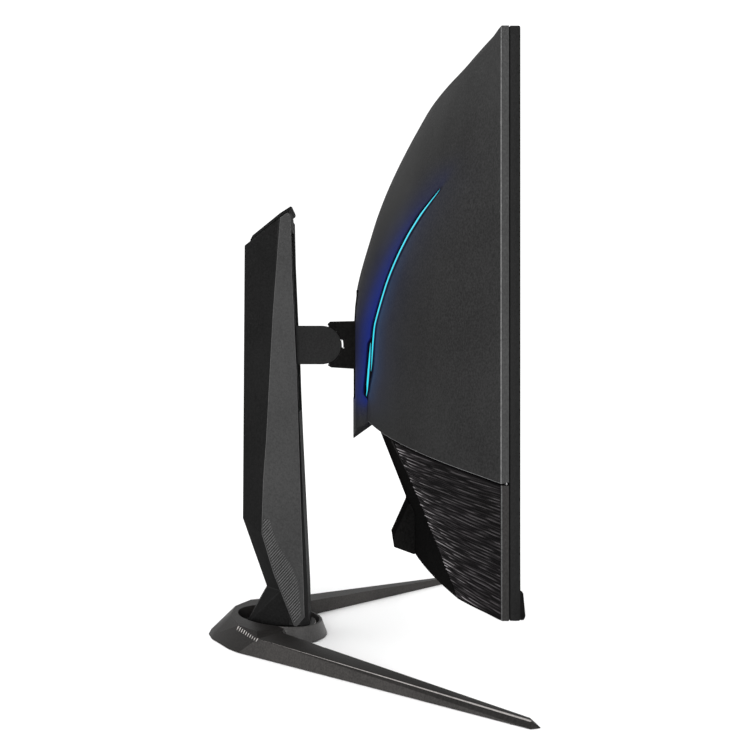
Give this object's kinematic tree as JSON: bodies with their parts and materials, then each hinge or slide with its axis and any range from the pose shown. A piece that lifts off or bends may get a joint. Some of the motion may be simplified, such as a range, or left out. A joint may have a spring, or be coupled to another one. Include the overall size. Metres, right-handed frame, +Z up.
{
  "type": "computer monitor",
  "caption": "Curved desktop monitor with a domed rear shell, a lit arc on its back, and a stand with swivel, height and tilt on two splayed feet.",
  "frame": {"origin": "on the desk, at the middle of the whole bounding box", "axes": "+Z up, the screen faces -Y, +X runs across the width, to the right of someone looking at the back"},
  "size_m": [0.612, 0.2626, 0.46],
  "materials": {
    "shell": "fine grain, dark grey",
    "textured": "black with streaky raised ridges",
    "black": "smooth black",
    "frame": "fine matt black",
    "panel": "anti-glare, switched off",
    "backlight": "white reflector and light guide",
    "light": "translucent, lit cyan",
    "steel": "plain",
    "board": "solder mask green",
    "column": "fine grain, near black",
    "trim": "fine grain, grey, hatched lower end",
    "base": "satin, brown-grey",
    "rubber": "soft black"
  },
  "bodies": {
    "base": {"base_hub": "base", "foot_left": "base", "foot_right": "base", "bearing_washer": "rubber", "pad_tip_right": "rubber", "pad_tip_left": "rubber", "pad_root_right": "rubber", "pad_root_left": "rubber", "pad_tail": "rubber"},
    "column": {"turntable": "base", "base_thumbscrew": "steel", "column_front_cover": "column", "column_rear_cover": "column", "column_panel_left": "trim", "column_panel_right": "trim", "column_cap": "column", "rail_left": "steel", "rail_right": "steel", "mast_plate": "steel", "spring_cylinder": "steel"},
    "carriage": {"carriage": "black", "arm": "column", "spring_rod": "steel", "tilt_pin": "steel", "tilt_washer_left": "steel", "tilt_washer_right": "steel"},
    "stick_base": {"joystick_plunger": "steel"},
    "stick_yoke": {"joystick_yoke": "frame"},
    "stick": {"joystick_cap": "black"},
    "power_key": {"power_button": "black"},
    "head": {"audio_jack": "steel", "backlight_chassis": "backlight", "bracket_cover": "black", "centre_plate": "black", "chin_trim": "black", "front_frame": "frame", "joystick_switch": "frame", "lcd_panel": "panel", "led_board_left": "board", "led_board_right": "board", "light_guide_left": "light", "light_guide_right": "light", "lower_cover_left": "textured", "lower_cover_right": "textured", "main_board": "board", "mount_frame": "steel", "power_board": "board", "power_jack": "steel", "rear_shell": "shell", "socket_hood": "black", "status_lens": "light", "tilt_bracket": "steel", "vesa_plate": "steel", "vesa_screw_1": "steel", "vesa_screw_2": "steel", "vesa_screw_3": "steel", "vesa_screw_4": "steel", "video_socket": "steel"}
  },
  "joints": [
    {"name": "swivel", "type": "hinge", "parent": "base", "child": "column", "pos_m": [0, 0.067, 0.006], "axis": [0, 0, 1], "range_deg": [-35, 35]},
    {"name": "height", "type": "slide", "parent": "column", "child": "carriage", "axis": [0, 0, 1], "range_m": [-0.042, 0.085]},
    {"name": "tilt", "type": "hinge", "parent": "carriage", "child": "head", "pos_m": [0, 0.0271, 0.2645], "axis": [-1, 0, 0], "range_deg": [-5, 20]},
    {"name": "stick_press", "type": "slide", "parent": "head", "child": "stick_base", "axis": [0, -1, 0], "range_m": [0, 0.0006], "stiffness_N_per_m": 500, "springref_m": -0.0004},
    {"name": "stick_updown", "type": "hinge", "parent": "stick_base", "child": "stick_yoke", "pos_m": [0.196, -0.07049, 0.116], "axis": [1, 0, 0], "range_deg": [-4, 4], "stiffness_Nm_per_rad": 0.03},
    {"name": "stick_leftright", "type": "hinge", "parent": "stick_yoke", "child": "stick", "pos_m": [0.196, -0.07049, 0.116], "axis": [0, 0, 1], "range_deg": [-4, 4], "stiffness_Nm_per_rad": 0.03},
    {"name": "power_press", "type": "slide", "parent": "head", "child": "power_key", "axis": [0, -1, 0], "range_m": [0, 0.001], "stiffness_N_per_m": 400, "springref_m": -0.0005}
  ]
}
